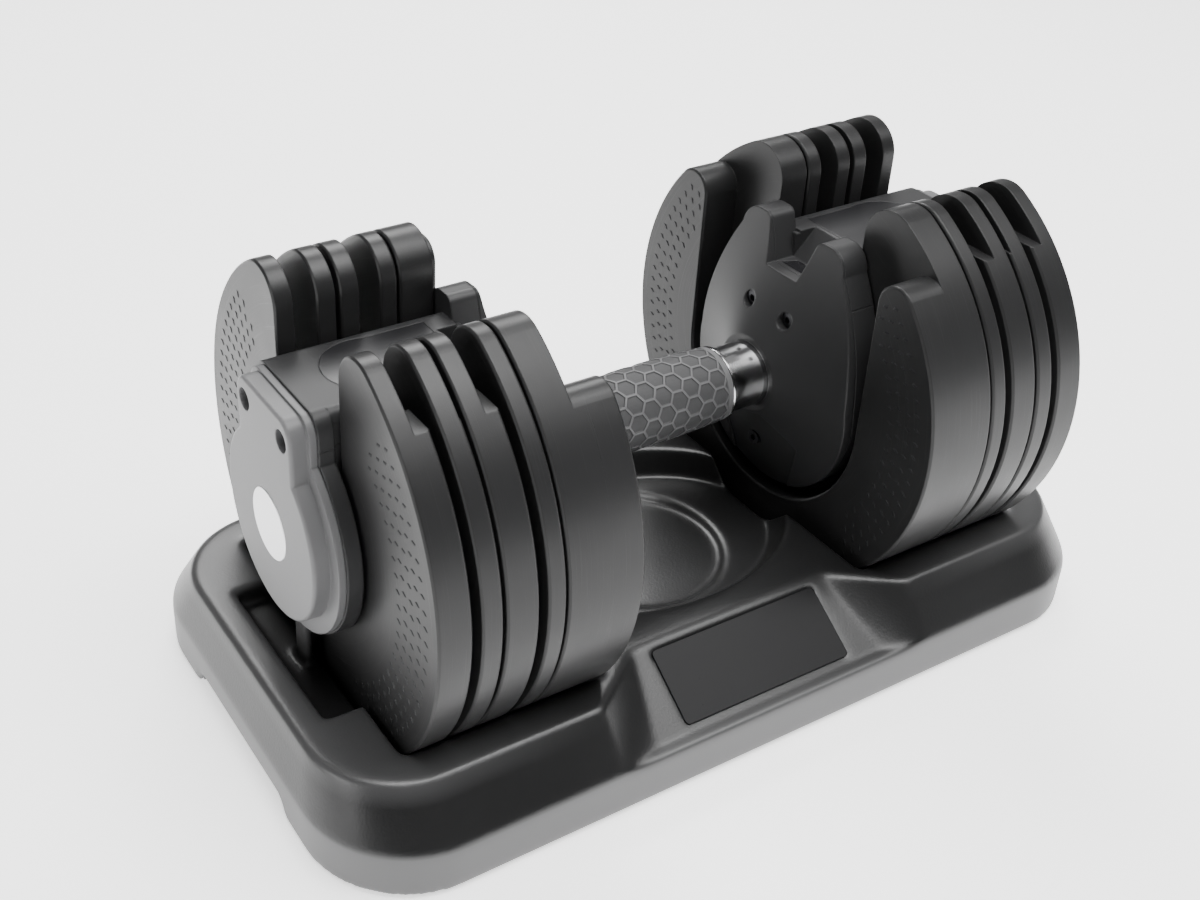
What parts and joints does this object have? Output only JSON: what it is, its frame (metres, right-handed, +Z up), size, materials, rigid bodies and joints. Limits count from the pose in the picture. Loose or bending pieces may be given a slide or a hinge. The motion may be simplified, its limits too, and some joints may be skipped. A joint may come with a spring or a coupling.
{
  "type": "adjustable dumbbell",
  "caption": "Twist-handle adjustable dumbbell with slotted weight plates at both ends, resting in a moulded storage tray.",
  "frame": {"origin": "on the floor under the middle of the handle", "axes": "+X along the handle, -Y the front of the tray with the badge plate, +Z up"},
  "size_m": [0.392, 0.218, 0.1969],
  "materials": {
    "plate_steel": "satin dark grey coat on steel",
    "shell_plastic": "fine-grained black moulding",
    "end_plastic": "satin grey moulding",
    "silver_disc": "brushed disc",
    "smoked_lens": "smoked window",
    "dark_inlay": "dark smooth panel",
    "lock_steel": "zinc plated",
    "spring_steel": "bright spring wire",
    "dial_plastic": "black dial with white numbers",
    "inner_plastic": "plain black moulding",
    "chrome": "polished",
    "selector_plastic": "glass-filled nylon",
    "black_screw": "black oxide",
    "bronze": "sintered bronze",
    "grip_rubber": "honeycomb texture",
    "shaft_steel": "ground steel",
    "tray_plastic": "grained top and satin band",
    "badge_gloss": "smooth plate",
    "foot_rubber": "plain"
  },
  "bodies": {
    "tray": {"tray_shell": "tray_plastic", "tray_base": "tray_plastic", "badge_plate": "badge_gloss", "tray_screws": "black_screw", "rubber_feet": "foot_rubber"},
    "dumbbell": {"housing_lower_left": "shell_plastic", "housing_lower_right": "shell_plastic", "housing_top_left": "shell_plastic", "housing_top_right": "shell_plastic", "inner_cover_left": "shell_plastic", "inner_cover_right": "shell_plastic", "end_cover_left": "end_plastic", "end_cover_right": "end_plastic", "medallion_left": "silver_disc", "medallion_right": "silver_disc", "window_lens_left": "smoked_lens", "window_lens_right": "smoked_lens", "top_inlay_left": "dark_inlay", "top_inlay_right": "dark_inlay", "lock_springs_left": "spring_steel", "lock_springs_right": "spring_steel", "dial_retainer_left": "inner_plastic", "dial_retainer_right": "inner_plastic", "cover_screws": "black_screw", "end_screws": "black_screw", "shaft_bushings": "bronze"},
    "handle": {"core_shaft": "shaft_steel", "handle_grip": "grip_rubber", "grip_rings": "chrome", "shaft_nuts": "lock_steel", "chrome_collar_left": "chrome", "chrome_collar_right": "chrome", "number_dial_left": "dial_plastic", "number_dial_right": "dial_plastic", "lock_wheel_left": "lock_steel", "lock_wheel_right": "lock_steel", "selector_disc_1_left": "selector_plastic", "selector_disc_1_right": "selector_plastic", "selector_disc_2_left": "selector_plastic", "selector_disc_2_right": "selector_plastic", "selector_disc_3_left": "selector_plastic", "selector_disc_3_right": "selector_plastic", "selector_disc_4_left": "selector_plastic", "selector_disc_4_right": "selector_plastic", "selector_disc_5_left": "selector_plastic", "selector_disc_5_right": "selector_plastic"},
    "plate_1_left": {"plate_1_left": "plate_steel"},
    "plate_2_left": {"plate_2_left": "plate_steel"},
    "plate_3_left": {"plate_3_left": "plate_steel"},
    "plate_4_left": {"plate_4_left": "plate_steel"},
    "plate_5_left": {"plate_5_left": "plate_steel"},
    "lock_left": {"lock_slider_left": "lock_steel"},
    "plate_1_right": {"plate_1_right": "plate_steel"},
    "plate_2_right": {"plate_2_right": "plate_steel"},
    "plate_3_right": {"plate_3_right": "plate_steel"},
    "plate_4_right": {"plate_4_right": "plate_steel"},
    "plate_5_right": {"plate_5_right": "plate_steel"},
    "lock_right": {"lock_slider_right": "lock_steel"}
  },
  "joints": [
    {"name": "dumbbell_lift", "type": "slide", "parent": "tray", "child": "dumbbell", "axis": [0, 0, 1], "range_m": [0, 0.25]},
    {"name": "handle_twist", "type": "hinge", "parent": "dumbbell", "child": "handle", "pos_m": [0, 0, 0.108], "axis": [1, 0, 0], "range_deg": [0, 180]},
    {"name": "plate_1_left_lift", "type": "slide", "parent": "tray", "child": "plate_1_left", "axis": [0, 0, 1], "range_m": [0, 0.25]},
    {"name": "plate_2_left_lift", "type": "slide", "parent": "tray", "child": "plate_2_left", "axis": [0, 0, 1], "range_m": [0, 0.25]},
    {"name": "plate_3_left_lift", "type": "slide", "parent": "tray", "child": "plate_3_left", "axis": [0, 0, 1], "range_m": [0, 0.25]},
    {"name": "plate_4_left_lift", "type": "slide", "parent": "tray", "child": "plate_4_left", "axis": [0, 0, 1], "range_m": [0, 0.25]},
    {"name": "plate_5_left_lift", "type": "slide", "parent": "tray", "child": "plate_5_left", "axis": [0, 0, 1], "range_m": [0, 0.25]},
    {"name": "lock_left_drop", "type": "slide", "parent": "dumbbell", "child": "lock_left", "axis": [0, 0, -1], "range_m": [0, 0.006], "deforming": ["lock_springs_left"]},
    {"name": "plate_1_right_lift", "type": "slide", "parent": "tray", "child": "plate_1_right", "axis": [0, 0, 1], "range_m": [0, 0.25]},
    {"name": "plate_2_right_lift", "type": "slide", "parent": "tray", "child": "plate_2_right", "axis": [0, 0, 1], "range_m": [0, 0.25]},
    {"name": "plate_3_right_lift", "type": "slide", "parent": "tray", "child": "plate_3_right", "axis": [0, 0, 1], "range_m": [0, 0.25]},
    {"name": "plate_4_right_lift", "type": "slide", "parent": "tray", "child": "plate_4_right", "axis": [0, 0, 1], "range_m": [0, 0.25]},
    {"name": "plate_5_right_lift", "type": "slide", "parent": "tray", "child": "plate_5_right", "axis": [0, 0, 1], "range_m": [0, 0.25]},
    {"name": "lock_right_drop", "type": "slide", "parent": "dumbbell", "child": "lock_right", "axis": [0, 0, -1], "range_m": [0, 0.006], "deforming": ["lock_springs_right"]}
  ],
  "couplings": [
    {"joint": "plate_1_left_lift", "follows": "dumbbell_lift", "ratio": 1},
    {"joint": "plate_2_left_lift", "follows": "dumbbell_lift", "ratio": 1},
    {"joint": "plate_3_left_lift", "follows": "dumbbell_lift", "ratio": 1},
    {"joint": "plate_4_left_lift", "follows": "dumbbell_lift", "ratio": 1},
    {"joint": "plate_5_left_lift", "follows": "dumbbell_lift", "ratio": 1},
    {"joint": "lock_left_drop", "follows": "dumbbell_lift", "ratio": 0.024},
    {"joint": "plate_1_right_lift", "follows": "dumbbell_lift", "ratio": 1},
    {"joint": "plate_2_right_lift", "follows": "dumbbell_lift", "ratio": 1},
    {"joint": "plate_3_right_lift", "follows": "dumbbell_lift", "ratio": 1},
    {"joint": "plate_4_right_lift", "follows": "dumbbell_lift", "ratio": 1},
    {"joint": "plate_5_right_lift", "follows": "dumbbell_lift", "ratio": 1},
    {"joint": "lock_right_drop", "follows": "dumbbell_lift", "ratio": 0.024}
  ]
}
